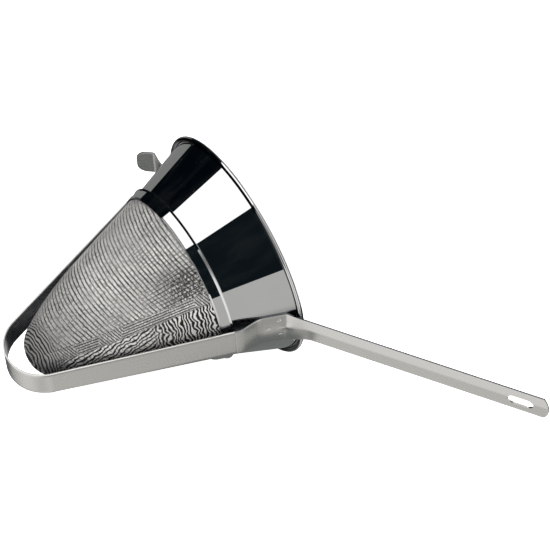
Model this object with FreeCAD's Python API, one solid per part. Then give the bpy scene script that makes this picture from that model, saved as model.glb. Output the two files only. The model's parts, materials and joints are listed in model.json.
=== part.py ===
"""Chinois strainer: a fine wire cone in a flared steel collar, with a strap guard, a handle and a pot hook.

It is drawn upright first, with the cone's axis on Z, the mouth up and the handle towards +X.
Then the whole strainer is laid down on a table, on its rim, its guard and its handle's end.
"""
import FreeCAD, Part
import math
import os

V = FreeCAD.Vector

# Rim and collar, millimetres and degrees. Depths are measured down from the middle of the rim's bead.
rim_diameter = 200.0
bead_diameter = 4.8
collar_sheet = 0.8
curl_turn = 300.0
wire_clearance = 0.2
waist_diameter = 151.3
neck_diameter = 145.0
collar_hidden_edge = 0.6

# Ring that clamps the wire cloth on the collar's lower end
ring_depth = 61.4
ring_height = 10.0
ring_thickness = 1.5
ridge_diameter = 2.0
nest_gap = 0.03

# Wire cloth cone
fine_cloth = 0.25
support_cloth = 0.35
cloth_top_margin = 1.2
cloth_half_angle = 19.0
cloth_straight_depth = 129.0
cloth_shoulder_radius = 284.0
cloth_tip_radius = 26.0
seam_width = 8.0
seam_cloth = 0.4
seam_turn = -43.5
seam_end_margin = 12.0

# Strap guard
strip_sheet = 1.5
guard_width = 25.0
guard_top_width = 30.0
guard_half_angle = 19.8
guard_standoff = 2.7
guard_tip_gap = 15.8
guard_joint_depth = 53.0
joggle_start_depth = 48.0
joggle_end_depth = 31.0
joggle_radius = 18.0
guard_end_depth = 17.0

# Handle
foot_width = 34.5
handle_bend_depth = 11.2
handle_bend_radius = 6.0
handle_angle = 33.6
handle_length = 223.5
handle_width = 26.0
fold_angle = 20.0
fold_radius = 15.0
fold_run = 19.0
handle_end_radius = 7.5
slot_length = 22.0
slot_width = 10.5
slot_end_margin = 13.0

# Pot hook
hook_width = 26.0
hook_foot_margin = 1.5
hook_bend_depth = 13.0
hook_bend_radius = 3.0
hook_shelf = 17.0
hook_shelf_rise = 8.0
hook_flatten_run = 8.5
hook_lip = 15.0
hook_lip_drop = 50.0
hook_end_radius = 7.0

# Spot welds: a triangle on the handle's foot, a little off its middle, and a pair on the hook's foot
weld_diameter = 4.2
weld_height = 0.3
weld_half_span = 8.9
handle_weld_depth = 16.4
handle_weld_rise = 8.9
handle_weld_shift = -3.4
hook_weld_depth = 21.0

# Drawing steps: along and across a strip, and how closely resting points are found
curve_step = 2.5
least_step = 0.25
across_steps = 8
rest_tolerance = 0.02
first_lean = V(-0.5, -0.8, 0.3)

# Rim bead, and the collar's flare as the line that touches the bead's curl
bead_radius = bead_diameter / 2
bead_ring = rim_diameter / 2 - bead_radius
ring_top = -(ring_depth - ring_height)
waist = V(waist_diameter / 2, 0, ring_top)
neck = V(neck_diameter / 2, 0, -ring_depth)
bead_centre = V(bead_ring, 0, 0)
to_bead = bead_centre - waist
flare = math.atan2(to_bead.x, to_bead.z) - math.asin((bead_radius - collar_sheet) / to_bead.Length)
flare_normal = V(-math.cos(flare), 0, math.sin(flare))
skirt = math.atan2(waist.x - neck.x, ring_height)
cloth_lean = math.radians(cloth_half_angle)
cloth_stack = fine_cloth + support_cloth + 3 * nest_gap


def flare_radius(z, out=0.0):
    """Radius at height z of the collar's flared outside, moved outwards by a distance."""
    return waist.x + (z - waist.z) * math.tan(flare) + out / math.cos(flare)


def skirt_radius(z, out=0.0):
    """Radius at height z of the collar's lower skirt, moved outwards by a distance."""
    return neck.x + (z - neck.z) * math.tan(skirt) + out / math.cos(skirt)


def cloth_radius(z, out=0.0):
    """Radius at height z of the straight cone that the wire cloth follows below the ring."""
    return neck.x + (z - neck.z) * math.tan(cloth_lean) + out / math.cos(cloth_lean)


def crossing(radius_a, angle_a, radius_b, angle_b):
    """Height where two cone lines meet, each given by its radius function and its half angle."""
    slope = math.tan(angle_a) - math.tan(angle_b)
    return (radius_b(0.0) - radius_a(0.0)) / slope


def waist_point(out):
    """Point at the collar's waist on a line that runs a distance outside its wall."""
    z = crossing(lambda h: flare_radius(h, out), flare, lambda h: skirt_radius(h, out), skirt)
    return V(flare_radius(z, out), 0, z)


def neck_point(out):
    """Point at the collar's neck on a line that runs a distance outside its wall."""
    z = crossing(lambda h: skirt_radius(h, out), skirt, lambda h: cloth_radius(h, out), cloth_lean)
    return V(skirt_radius(z, out), 0, z)


def line(a, b):
    return Part.LineSegment(a, b).toShape()


def arc(centre, radius, start, end):
    """Arc in the XZ plane between two angles in radians, measured from +X towards +Z."""
    def at(angle):
        return centre + V(math.cos(angle), 0, math.sin(angle)) * radius
    return Part.Arc(at(start), at((start + end) / 2), at(end)).toShape()


def end_points(edge):
    return edge.valueAt(edge.FirstParameter), edge.valueAt(edge.LastParameter)


def turned(edges, angle=360.0):
    """Solid made by turning a closed outline about the cone's axis."""
    face = Part.Face(Part.Wire(Part.__sortEdges__(edges)))
    return face.revolve(V(0, 0, 0), V(0, 0, 1), angle)


def polygon(points):
    return [line(a, b) for a, b in zip(points, points[1:] + points[:1])]


def make_collar():
    """Flared band with its rim curled outwards round a wire, and a plain lower skirt."""
    low = -ring_depth + collar_hidden_edge
    inner_radius = bead_radius - collar_sheet
    start = math.pi - flare
    end = start - math.radians(curl_turn)
    outer_curl = arc(bead_centre, bead_radius, start, end)
    inner_curl = arc(bead_centre, inner_radius, start, end)
    outer_start, outer_end = end_points(outer_curl)
    inner_start, inner_end = end_points(inner_curl)
    inside = waist_point(-collar_sheet)
    low_out = V(skirt_radius(low), 0, low)
    low_in = V(skirt_radius(low, -collar_sheet), 0, low)
    return turned([
        outer_curl,
        line(outer_end, inner_end),
        inner_curl,
        line(inner_start, waist),
        line(waist, low_out),
        line(low_out, low_in),
        line(low_in, inside),
        line(inside, outer_start),
    ])


def make_rim_wire():
    """Wire that stiffens the rim, inside its curl."""
    return Part.makeTorus(bead_ring, bead_radius - collar_sheet - wire_clearance)


def make_mesh_ring():
    """Band that clamps the wire cloth on the collar's skirt, with a rounded ridge along its top."""
    inner = cloth_stack
    outer = cloth_stack + ring_thickness
    band = turned(polygon([
        V(skirt_radius(-ring_depth, inner), 0, -ring_depth),
        V(skirt_radius(-ring_depth, outer), 0, -ring_depth),
        V(skirt_radius(ring_top, outer), 0, ring_top),
        V(skirt_radius(ring_top, inner), 0, ring_top),
    ]))
    ridge_radius = ridge_diameter / 2
    ridge_height = ring_top - ridge_radius
    ridge_ring = skirt_radius(ridge_height, inner + ridge_radius)
    ridge = Part.makeTorus(ridge_ring, ridge_radius, V(0, 0, ridge_height))
    return band.fuse(ridge).removeSplitter()


def cloth_outline(out, top):
    """Edges of the cone of cloth from its top down to the axis, a distance outside the collar's wall."""
    straight_end = V(cloth_radius(-cloth_straight_depth), 0, -cloth_straight_depth)
    shoulder = straight_end + V(-math.cos(cloth_lean), 0, math.sin(cloth_lean)) * cloth_shoulder_radius
    drop = math.sqrt((cloth_shoulder_radius - cloth_tip_radius) ** 2 - shoulder.x ** 2)
    tip_centre = V(0, 0, shoulder.z - drop)
    meet = math.atan2(tip_centre.z - shoulder.z, tip_centre.x - shoulder.x)
    shoulder_arc = arc(shoulder, cloth_shoulder_radius + out, -cloth_lean, meet)
    tip_arc = arc(tip_centre, cloth_tip_radius + out, meet, -math.pi / 2)
    head = V(skirt_radius(top, out), 0, top)
    neck_at = neck_point(out)
    return [line(head, neck_at), line(neck_at, end_points(shoulder_arc)[0]), shoulder_arc, tip_arc]


def cloth_shell(inner, outer, top):
    """Thin closed cone of cloth between two distances outside the collar's wall."""
    inside = cloth_outline(inner, top)
    outside = cloth_outline(outer, top)
    head = line(end_points(inside[0])[0], end_points(outside[0])[0])
    tip = line(end_points(inside[-1])[1], end_points(outside[-1])[1])
    return turned(inside + outside + [head, tip])


cloth_top = ring_top - cloth_top_margin
fine_inner = nest_gap
support_inner = fine_inner + fine_cloth + nest_gap
support_outer = support_inner + support_cloth
tip_depth = -end_points(cloth_outline(support_outer, cloth_top)[-1])[1].z


def make_fine_mesh():
    """Fine straining cloth, the inner layer of the cone."""
    return cloth_shell(fine_inner, fine_inner + fine_cloth, cloth_top)


def make_support_mesh():
    """Stronger outer cloth that backs the fine one."""
    return cloth_shell(support_inner, support_outer, cloth_top)


def make_mesh_seam():
    """Lapped strip of cloth down the cone, where the two edges of the rolled cloth meet."""
    lap = cloth_shell(support_outer + nest_gap, support_outer + nest_gap + seam_cloth, cloth_top)
    top = -ring_depth - nest_gap
    length = tip_depth - ring_depth - seam_end_margin
    strip = Part.makeBox(rim_diameter, seam_width, length, V(0, -seam_width / 2, top - length))
    seam = lap.common(strip)
    seam.rotate(V(0, 0, 0), V(0, 0, 1), seam_turn)
    return seam


class StripPath:
    """Route of a bent strip's outer face in the plane of the axis, as straight runs and tangent arcs."""

    def __init__(self, corners, radii):
        self.pieces = []
        self.bends = []
        self.length = 0.0
        start = corners[0]
        for before, corner, after, radius in zip(corners, corners[1:], corners[2:], radii):
            lean_in = self.lean(before, corner)
            lean_out = self.lean(corner, after)
            reach = radius * math.tan(abs(lean_out - lean_in) / 2)
            bend_start = corner - self.along(lean_in) * reach
            self.add(start, lean_in, lean_in, (bend_start - start).Length)
            bend_from = self.length
            self.add(bend_start, lean_in, lean_out, radius * abs(lean_out - lean_in))
            self.bends.append((bend_from, self.length))
            start = corner + self.along(lean_out) * reach
        last = self.lean(corners[-2], corners[-1])
        self.add(start, last, last, (corners[-1] - start).Length)

    def add(self, start, lean_in, lean_out, length):
        """Add a straight run, or an arc where the two leans differ."""
        self.pieces.append((start, lean_in, lean_out, length))
        self.length += length

    @staticmethod
    def lean(a, b):
        """Angle of a run from the axis, outwards."""
        return math.atan2(b.x - a.x, b.z - a.z)

    @staticmethod
    def along(lean):
        return V(math.sin(lean), 0, math.cos(lean))

    def at(self, distance):
        """Point and lean at a distance along the strip."""
        for start, lean_in, lean_out, length in self.pieces[:-1]:
            if distance < length:
                break
            distance -= length
        else:
            start, lean_in, lean_out, length = self.pieces[-1]
        turn = lean_out - lean_in
        if turn == 0:
            return start + self.along(lean_in) * distance, lean_in
        radius = length / turn
        lean = lean_in + turn * distance / length
        side_in = V(math.cos(lean_in), 0, -math.sin(lean_in))
        side = V(math.cos(lean), 0, -math.sin(lean))
        return start + side_in * radius - side * radius, lean

    def steps(self):
        """Distances of the ends of the straight runs, and of short steps along the arcs."""
        found = [0.0]
        for _, lean_in, lean_out, length in self.pieces:
            reached = found[-1]
            count = math.ceil(length / curve_step) if lean_in != lean_out else 1
            found += [reached + length * i / count for i in range(1, count + 1)]
        return found


def wrapped(y, radius, lean):
    """How far a strip wrapped on a cone falls away from its middle, square to the cone's side."""
    spread = math.cos(2 * lean)
    return radius * math.cos(lean) / spread * (1 - math.sqrt(1 - spread * y * y / radius ** 2))


def folded(y, radius):
    """How far a strip with a soft fold along its middle falls away towards its edges."""
    angle = math.radians(fold_angle)
    side = abs(y)
    flat_from = radius * math.sin(angle)
    if side < flat_from:
        return radius - math.sqrt(radius ** 2 - side ** 2)
    return radius * (1 - math.cos(angle)) + (side - flat_from) * math.tan(angle)


def strip_section(path, distance, width, wrap, fold):
    """Closed outline across a strip: its outer face, its inner face and its two edges."""
    point, lean = path.at(distance)
    inwards = V(-math.cos(lean), 0, math.sin(lean))
    shares = [2 * i / across_steps - 1 for i in range(across_steps + 1)]
    sides = []
    for depth, turn_radius in ((0.0, fold_radius), (strip_sheet, fold_radius - strip_sheet)):
        base = point + inwards * depth
        curve = []
        for share in shares:
            y = share * width / 2
            fall = wrap * wrapped(y, base.x, flare) + fold * folded(y, turn_radius)
            curve.append(base + V(0, y, 0) + inwards * fall)
        sides.append(curve)
    edges = [line(sides[0][0], sides[1][0]), line(sides[0][-1], sides[1][-1])]
    for curve in sides:
        if wrap or fold:
            spline = Part.BSplineCurve()
            spline.interpolate(curve)
            edges.append(spline.toShape())
        else:
            edges.append(line(curve[0], curve[-1]))
    return Part.Wire(Part.__sortEdges__(edges))


def eased(marks, distance):
    """Values of a strip's shape at a distance, eased between the marks where they are given."""
    for (a, low), (b, high) in zip(marks, marks[1:]):
        if distance <= b:
            share = max(0.0, (distance - a) / (b - a))
            share = share * share * (3 - 2 * share)
            return [p + (q - p) * share for p, q in zip(low, high)]
    return marks[-1][1]


def make_strip(path, marks):
    """Solid strip along a path, whose width, wrap and fold follow the marks."""
    distances = path.steps()
    for (a, low), (b, high) in zip(marks, marks[1:]):
        count = math.ceil((b - a) / curve_step) if low != high else 1
        distances += [a + (b - a) * i / count for i in range(count + 1)]
    kept = [0.0]
    for distance in sorted(distances):
        if distance - kept[-1] > least_step:
            kept.append(distance)
    kept[-1] = path.length
    sections = [strip_section(path, d, *eased(marks, d)) for d in kept]
    return Part.makeLoft(sections, True, True)


# Guard: two straight legs beside the cone, joined by a round loop below its tip
guard_lean = math.radians(guard_half_angle)
leg_at_ring = skirt_radius(-ring_depth, cloth_stack + ring_thickness)
leg_at_ring += (guard_standoff + strip_sheet) / math.cos(guard_lean)
leg_reach = leg_at_ring * math.cos(guard_lean) + ring_depth * math.sin(guard_lean)
guard_depth = tip_depth + guard_tip_gap + strip_sheet
loop_radius = (leg_reach - guard_depth * math.sin(guard_lean)) / (1 - math.sin(guard_lean))
loop_centre = V(0, 0, loop_radius - guard_depth)
loop_end = loop_centre + V(math.cos(guard_lean), 0, -math.sin(guard_lean)) * loop_radius
foot_out = nest_gap + strip_sheet


def leg_point(depth):
    """Point on the outer face of a guard leg."""
    return V(leg_at_ring + (ring_depth - depth) * math.tan(guard_lean), 0, -depth)


def wall_point(depth, out):
    """Point a distance outside the collar's flared wall."""
    return V(flare_radius(-depth, out), 0, -depth)


joggle = [leg_point(joggle_start_depth), wall_point(joggle_end_depth, foot_out)]
far_end = wall_point(guard_end_depth, foot_out)
far_path = StripPath([loop_end] + joggle + [far_end], [joggle_radius, joggle_radius])


def make_guard_strap():
    """Strap that runs from the handle's foot down round the tip of the cone and up to the pot hook."""
    near_path = StripPath([loop_end, leg_point(guard_joint_depth)], [])
    near_leg = Part.makeLoft([
        strip_section(near_path, 0, guard_width, 0, 0),
        strip_section(near_path, near_path.length, guard_top_width, 0, 0),
    ], True, True)
    far_leg = make_strip(far_path, [
        (0, [guard_width, 0, 0]),
        (far_path.bends[0][0], [guard_width, 0, 0]),
        (far_path.bends[1][1], [guard_width, 1, 0]),
        (far_path.length, [guard_width, 1, 0]),
    ])
    far_leg.rotate(V(0, 0, 0), V(0, 0, 1), 180)
    outer = arc(loop_centre, loop_radius, -guard_lean, guard_lean - math.pi)
    inner = arc(loop_centre, loop_radius - strip_sheet, -guard_lean, guard_lean - math.pi)
    ends = [line(a, b) for a, b in zip(end_points(outer), end_points(inner))]
    loop = Part.Face(Part.Wire(Part.__sortEdges__([outer, inner] + ends)))
    loop.translate(V(0, -guard_width / 2, 0))
    return loop.extrude(V(0, guard_width, 0)).fuse([near_leg, far_leg]).removeSplitter()


def rounded_end(width, radius, reach):
    """Tool that rounds the two corners of a strip's end at the origin, where the strip runs along +X."""
    half = width / 2
    tool = Part.makeBox(radius, 2 * width, 2 * reach, V(-radius, -width, -reach))
    keep = Part.makeBox(2 * radius, width - 2 * radius, 2 * reach, V(-2 * radius, radius - half, -reach))
    tool = tool.cut(keep)
    for side in (-1, 1):
        corner = Part.makeCylinder(radius, 2 * reach, V(-radius, side * (half - radius), -reach))
        tool = tool.cut(corner)
    return tool


def obround(length, width, reach):
    """Tool for a slot with round ends, centred on the origin along X."""
    straight = length - width
    tool = Part.makeBox(straight, width, 2 * reach, V(-straight / 2, -width / 2, -reach))
    for side in (-1, 1):
        tool = tool.fuse(Part.makeCylinder(width / 2, 2 * reach, V(side * straight / 2, 0, -reach)))
    return tool


def strip_place(path, distance):
    """Place on a strip's outer face: X along the strip, Y across it and Z into the sheet."""
    point, lean = path.at(distance)
    return FreeCAD.Placement(point, FreeCAD.Rotation(V(0, 1, 0), math.degrees(lean) - 90))


def make_handle():
    """Handle: a joggled tail that meets the guard, a foot wrapped on the collar and a folded grip."""
    bend = wall_point(handle_bend_depth, foot_out)
    rise = math.radians(handle_angle)
    tip = bend + V(math.cos(rise), 0, math.sin(rise)) * handle_length
    corners = [leg_point(guard_joint_depth)] + joggle + [bend, tip]
    path = StripPath(corners, [joggle_radius, joggle_radius, handle_bend_radius])
    foot_start = path.bends[1][1]
    foot_end, grip_from = path.bends[2]
    handle = make_strip(path, [
        (0, [guard_top_width, 0, 0]),
        (foot_start, [foot_width, 1, 0]),
        (foot_end, [foot_width, 1, 0]),
        (grip_from + fold_run, [handle_width, 0, 1]),
        (path.length, [handle_width, 0, 1]),
    ])
    end_tool = rounded_end(handle_width, handle_end_radius, handle_width)
    end_tool.Placement = strip_place(path, path.length)
    slot_tool = obround(slot_length, slot_width, handle_width)
    slot_tool.Placement = strip_place(path, path.length - slot_end_margin - slot_length / 2)
    return handle.cut([end_tool, slot_tool])


def make_pot_hook():
    """Bent plate on the far side of the collar, which hangs the strainer on a pot's rim."""
    out = 2 * foot_out
    bend = wall_point(hook_bend_depth, out)
    rise = math.radians(hook_shelf_rise)
    drop = math.radians(hook_lip_drop)
    shelf_end = bend + V(math.cos(rise), 0, math.sin(rise)) * hook_shelf
    lip_end = shelf_end + V(math.cos(drop), 0, -math.sin(drop)) * hook_lip
    joggle_top = far_path.at(far_path.bends[1][1])[0].z
    foot = wall_point(-joggle_top - hook_foot_margin, out)
    path = StripPath([foot, bend, shelf_end, lip_end], [hook_bend_radius, hook_bend_radius])
    foot_end, shelf_from = path.bends[0]
    hook = make_strip(path, [
        (0, [hook_width, 1, 0]),
        (foot_end, [hook_width, 1, 0]),
        (shelf_from + hook_flatten_run, [hook_width, 0, 0]),
        (path.length, [hook_width, 0, 0]),
    ])
    end_tool = rounded_end(hook_width, hook_end_radius, hook_width)
    end_tool.Placement = strip_place(path, path.length)
    hook = hook.cut(end_tool)
    hook.rotate(V(0, 0, 0), V(0, 0, 1), 180)
    return hook


def make_welds(out, spots):
    """Flat spot-weld buttons at given sides and depths, on a plate a distance outside the collar."""
    depths = [depth for side, depth in spots]
    low = -max(depths) - weld_diameter
    high = -min(depths) + weld_diameter
    layer = turned(polygon([
        V(flare_radius(low, out), 0, low),
        V(flare_radius(low, out + weld_height), 0, low),
        V(flare_radius(high, out + weld_height), 0, high),
        V(flare_radius(high, out), 0, high),
    ]))
    buttons = []
    for side, depth in spots:
        radius = flare_radius(-depth, out)
        angle = math.asin(side / radius)
        normal = V(math.cos(angle) * math.cos(flare), math.sin(angle) * math.cos(flare), -math.sin(flare))
        seat = V(radius * math.cos(angle), side, -depth)
        reach = weld_diameter
        pin = Part.makeCylinder(weld_diameter / 2, 2 * reach, seat - normal * reach, normal)
        buttons.append(layer.common(pin).Solids[0])
    return Part.Compound(buttons)


def make_handle_welds():
    """Spot welds that hold the handle's foot on the collar."""
    return make_welds(foot_out, [
        (handle_weld_shift - weld_half_span, handle_weld_depth),
        (handle_weld_shift + weld_half_span, handle_weld_depth),
        (handle_weld_shift, handle_weld_depth + handle_weld_rise),
    ])


def make_hook_welds():
    """Spot welds that hold the pot hook and the guard's end on the collar."""
    spots = [(-weld_half_span, hook_weld_depth), (weld_half_span, hook_weld_depth)]
    welds = make_welds(2 * foot_out, spots)
    welds.rotate(V(0, 0, 0), V(0, 0, 1), 180)
    return welds


def lowest(points, up):
    return min(points, key=lambda p: p.dot(up))


def lying_place(rim, guard, handle):
    """Place that lays the strainer on a table: on its rim, its guard and the end of its handle."""
    clouds = [piece.tessellate(rest_tolerance)[0] for piece in (rim, guard, handle)]
    up = first_lean
    touching = None
    found = [lowest(cloud, up) for cloud in clouds]
    while found != touching:
        touching = found
        up = (touching[2] - touching[0]).cross(touching[1] - touching[0])
        up = up * (math.copysign(1, up.dot(first_lean)) / up.Length)
        found = [lowest(cloud, up) for cloud in clouds]
    along = (touching[2] - touching[1]).normalize()
    across = up.cross(along)
    turn = FreeCAD.Matrix(
        along.x, along.y, along.z, -along.dot(touching[1]),
        across.x, across.y, across.z, -across.dot(touching[1]),
        up.x, up.y, up.z, -up.dot(touching[1]),
        0, 0, 0, 1,
    )
    return FreeCAD.Placement(turn)


pieces = {
    "collar": make_collar(),
    "rim_wire": make_rim_wire(),
    "mesh_ring": make_mesh_ring(),
    "support_mesh": make_support_mesh(),
    "fine_mesh": make_fine_mesh(),
    "mesh_seam": make_mesh_seam(),
    "guard_strap": make_guard_strap(),
    "handle": make_handle(),
    "pot_hook": make_pot_hook(),
    "handle_welds": make_handle_welds(),
    "hook_welds": make_hook_welds(),
}

# Lay the strainer down, then put the origin under the middle of its box
lying = lying_place(pieces["collar"], pieces["guard_strap"], pieces["handle"])
for piece in pieces.values():
    piece.Placement = lying.multiply(piece.Placement)
box = Part.Compound(list(pieces.values())).optimalBoundingBox(False)
centre_shift = V(-box.Center.x, -box.Center.y, -box.ZMin)
os.makedirs("parts", exist_ok=True)
for name, piece in pieces.items():
    piece.translate(centre_shift)
    piece.exportStep("parts/" + name + ".step")
    print(name, "solids", len(piece.Solids), "valid", piece.isValid(), "volume", round(piece.Volume, 1))
print("size", round(box.XLength, 2), round(box.YLength, 2), round(box.ZLength, 2))
print("place", [round(v, 6) for v in lying.toMatrix().A], "shift", centre_shift)
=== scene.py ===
"""Looks of a chinois strainer: mirror collar, wire cloth cone, satin guard strap, handle and pot hook.

Each piece is drawn upright, with the cone's axis on Z, the mouth up and the handle towards +X.
It is then laid down with the frame's own rim centre, cone axis and hanging slot.
"""
import json
import math

import bmesh
import bpy
from mathutils import Matrix, Vector


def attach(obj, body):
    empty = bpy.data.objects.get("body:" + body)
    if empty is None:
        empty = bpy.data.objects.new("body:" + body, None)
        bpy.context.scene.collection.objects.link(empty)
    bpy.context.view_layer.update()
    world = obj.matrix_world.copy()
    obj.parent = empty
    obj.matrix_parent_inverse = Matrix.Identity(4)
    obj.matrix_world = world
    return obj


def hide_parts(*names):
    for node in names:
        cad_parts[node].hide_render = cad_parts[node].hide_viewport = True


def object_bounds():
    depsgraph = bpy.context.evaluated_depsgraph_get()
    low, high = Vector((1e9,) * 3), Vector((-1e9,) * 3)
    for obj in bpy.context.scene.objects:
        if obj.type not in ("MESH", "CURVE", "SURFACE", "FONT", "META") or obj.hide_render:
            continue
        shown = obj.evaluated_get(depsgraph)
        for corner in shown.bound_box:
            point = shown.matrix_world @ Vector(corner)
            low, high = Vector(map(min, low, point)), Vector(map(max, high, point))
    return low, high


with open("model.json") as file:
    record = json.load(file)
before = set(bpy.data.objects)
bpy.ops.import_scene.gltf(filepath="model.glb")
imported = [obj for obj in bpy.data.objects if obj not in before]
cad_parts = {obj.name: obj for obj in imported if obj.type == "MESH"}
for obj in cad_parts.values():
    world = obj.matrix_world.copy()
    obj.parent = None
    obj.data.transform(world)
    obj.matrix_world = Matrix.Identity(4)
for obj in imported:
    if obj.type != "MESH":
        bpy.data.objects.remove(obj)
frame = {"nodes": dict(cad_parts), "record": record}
CAD_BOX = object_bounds()

bl_info = {
    "name": "Chinois strainer",
    "version": (1, 0, 0),
    "blender": (4, 5, 0),
    "location": "View3D > Sidebar > Strainer",
    "description": "Models and finishes a lying chinois strainer around its packed frame",
    "category": "Object",
}


def millimetres(name, text, default):
    return bpy.props.FloatProperty(
        name=name, description=text, default=default / 1000, unit="LENGTH", precision=5)


def degrees(name, text, default):
    return bpy.props.FloatProperty(
        name=name, description=text, default=math.radians(default), subtype="ANGLE")


def camera_millimetres(name, text, default):
    return bpy.props.FloatProperty(name=name, description=text, default=default, unit="CAMERA")


def share(name, text, default):
    return bpy.props.FloatProperty(
        name=name, description=text, default=default, min=0.0, max=1.0, subtype="FACTOR")


def count(name, text, default):
    return bpy.props.IntProperty(name=name, description=text, default=default)


def colour(name, text, default):
    return bpy.props.FloatVectorProperty(name=name, description=text, default=default, subtype="COLOR")


def coordinates(name, text, *metres):
    return bpy.props.FloatVectorProperty(
        name=name, description=text, size=len(metres), default=metres, subtype="XYZ", unit="LENGTH")


class CollarSizes(bpy.types.PropertyGroup):
    """Sizes of the collar, its rim and the ring that clamps the cloth."""
    rim_diameter: millimetres("Rim diameter", "Outside of the beaded rim", 200.0)
    bead_diameter: millimetres("Bead diameter", "Outside of the rim's curl", 4.8)
    sheet: millimetres("Sheet", "Thickness of the collar", 0.8)
    curl_turn: degrees("Curl turn", "How far the rim curls round its wire", 268.0)
    waist_diameter: millimetres("Waist diameter", "Collar at the ring's top", 151.3)
    neck_diameter: millimetres("Neck diameter", "Collar at the ring's foot", 145.0)
    ring_depth: millimetres("Ring depth", "Foot of the ring below the rim", 61.4)
    ring_height: millimetres("Ring height", "Height of the clamping ring", 10.0)
    ring_thickness: millimetres("Ring thickness", "Wall of the clamping ring", 1.5)
    ridge_thickness: millimetres("Ridge thickness", "Ring at the ridge's crest", 2.15)
    ridge_slope: degrees("Ridge slope", "Slope below the ridge's crest, off the axis", 37.6)
    ridge_round: millimetres("Ridge round", "Rounding of the ridge's crest", 0.15)
    edge_round: millimetres("Edge round", "Rounding of the ring's foot", 0.7)
    bend_margin: millimetres("Bend margin", "Plain wall beside the rim's curl and the waist", 1.5)
    skirt_margin: millimetres("Skirt margin", "End of the skirt above the ring's foot", 0.6)
    waist_margin: millimetres("Waist margin", "Waist's bend inside below the one outside", 0.1)


class ClothSizes(bpy.types.PropertyGroup):
    """Sizes of the wire cloth cone."""
    half_angle: degrees("Half angle", "Lean of the cone's side", 19.0)
    straight_depth: millimetres("Straight depth", "Depth where the side starts to round in", 129.0)
    shoulder_radius: millimetres("Shoulder radius", "Long curve above the tip", 284.0)
    tip_radius: millimetres("Tip radius", "Round tip of the cone", 26.0)
    fine_thickness: millimetres("Fine cloth", "Thickness of the inner cloth", 0.25)
    nest_gap: millimetres("Nest gap", "Gap between nested layers", 0.03)
    support_thickness: millimetres("Support cloth", "Thickness of the outer cloth", 0.35)
    wire_pitch: millimetres("Wire pitch", "Spacing of the hoop wires", 1.08)
    wire_diameter: millimetres("Wire diameter", "Diameter of the outer wires", 0.5)
    rib_count: count("Rib wires", "Pairs of wires down the cone", 120)
    bow: share("Bow", "How far the hoop wires bow towards the mouth", 0.21)
    bow_turn: degrees("Bow turn", "Side of the cone where the hoop wires dip lowest", -85.0)
    # The cloth's painted shade is lightest on this side.
    bright_turn: degrees("Bright turn", "Side of the cone where the cloth is brightest", -68.0)
    seam_turn: degrees("Seam turn", "Side of the cone where the cloth laps", -36.5)
    seam_width: millimetres("Seam width", "Width of the lap", 8.0)
    seam_thickness: millimetres("Seam cloth", "Thickness of the lap", 0.4)
    seam_end_margin: millimetres("Seam end", "Bare length between the lap and the tip", 12.0)
    seam_top_margin: millimetres("Seam top margin", "End of the lap below the ring", 0.4)
    seam_edge_round: millimetres("Seam edge round", "Rounding of the lap's edges", 0.1)
    cloth_top_margin: millimetres("Cloth top margin", "Skirt left bare above the fine cloth", 1.2)
    hoop_end_margin: millimetres("Hoop end margin", "Bare length between the hoop wires and the tip", 0.5)
    rib_end_margin: millimetres("Rib end margin", "Bare length between the rib wires and the tip", 3.0)
    hoop_step: degrees("Hoop step", "Turn from point to point along a hoop wire", 3.0)


class ClothPattern(bpy.types.PropertyGroup):
    """Lines of the cloth's moire and where they lie, up from the cone's apex or off the lap's middle."""
    group: count("Wires per line", "Hoop wires from one dark line to the next", 3)
    line_share: share("Line share", "Dark share of the lines along the hoops", 0.35)
    crossing_pitch: millimetres("Crossing pitch", "Lines that cross the hoops near the ring", 3.4)
    rib_turn: degrees("Rib turn", "Turn between faint lines down the cone", 2.57831)
    weave_turn: degrees("Weave turn", "Turn between the finest lines down the cone", 0.94538)
    zebra_pitch: millimetres("Zebra pitch", "Wavy lines below the lap", 2.9)
    fan_pitch: millimetres("Fan pitch", "Slanted lines below the lap, towards the tip", 3.0)
    fan_cross_pitch: millimetres("Fan cross pitch", "Wavy lines that cross the slanted ones", 3.4)
    lap_pitch: millimetres("Lap pitch", "Lines along the lap", 2.1)
    rung_pitch: millimetres("Rung pitch", "Rungs across the lap", 2.2)
    tip_pitch: millimetres("Tip pitch", "Wavy lines round the tip", 2.4)
    lap_half: millimetres("Half lap", "Half the width of the lap's pattern", 5.0)
    tip_top: millimetres("Tip top", "Top of the tip's pattern", 104.0)
    tip_full: millimetres("Tip full", "Where the tip's pattern is full", 86.0)
    fan_top: millimetres("Fan top", "Top of the slanted lines", 185.0)
    fan_full: millimetres("Fan full", "Where the slanted lines are full", 165.0)
    ring_low: millimetres("Ring low", "Foot of the crossing lines", 215.0)
    ring_full: millimetres("Ring full", "Where the crossing lines are full", 250.0)
    shade_top: millimetres("Shade top", "Top of the shade towards the tip", 165.0)
    shade_full: millimetres("Shade full", "Where the shade towards the tip is full", 105.0)


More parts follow.
